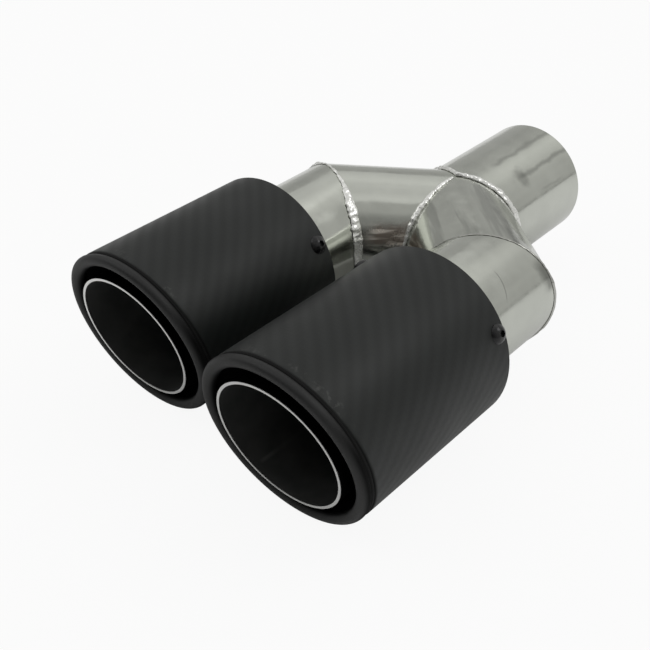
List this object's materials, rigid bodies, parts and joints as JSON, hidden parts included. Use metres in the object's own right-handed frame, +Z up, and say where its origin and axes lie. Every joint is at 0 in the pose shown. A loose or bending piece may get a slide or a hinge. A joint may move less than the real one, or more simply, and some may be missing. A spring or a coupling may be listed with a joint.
{
  "type": "exhaust tip",
  "caption": "Twin exhaust tip: steel inlet pipe, mitred Y, and staggered slash-cut outlets in carbon sleeves with black rolled lips.",
  "frame": {"origin": "centre of the inlet mouth, in the plane of its edge", "axes": "+Y along the inlet pipe and out of its mouth, towards the pipe of the car; the outlets face -Y; +Z up, the slashed outlets reach further out at the top; +X towards the longer outlet"},
  "size_m": [0.1946, 0.2894, 0.0916],
  "materials": {
    "polished_steel": "polished stainless tube, slightly streaked along its length",
    "plain_steel": "plain stainless sheet",
    "weld": "bright weld bead",
    "carbon": "twill-woven carbon fibre under a satin coat",
    "black_lip": "satin black",
    "black_tube": "matte black with a bare front edge",
    "black_screw": "black oxide"
  },
  "bodies": {
    "root": {"inlet_pipe": "polished_steel", "left_branch_tube": "polished_steel", "right_branch_tube": "polished_steel", "left_outlet_stub": "polished_steel", "right_outlet_stub": "polished_steel", "inlet_weld": "weld", "crotch_weld": "weld", "left_mitre_weld": "weld", "right_mitre_weld": "weld", "left_tip_shell": "black_lip", "right_tip_shell": "black_lip", "left_sleeve": "carbon", "right_sleeve": "carbon", "left_inner_tube": "black_tube", "right_inner_tube": "black_tube", "left_inner_tube_weld": "weld", "right_inner_tube_weld": "weld", "left_support_ring": "plain_steel", "right_support_ring": "plain_steel", "left_ring_weld": "weld", "right_ring_weld": "weld", "left_screw_1": "black_screw", "left_screw_2": "black_screw", "left_screw_3": "black_screw", "right_screw_1": "black_screw", "right_screw_2": "black_screw", "right_screw_3": "black_screw", "left_nut_1": "plain_steel", "left_nut_2": "plain_steel", "left_nut_3": "plain_steel", "right_nut_1": "plain_steel", "right_nut_2": "plain_steel", "right_nut_3": "plain_steel"}
  },
  "joints": []
}
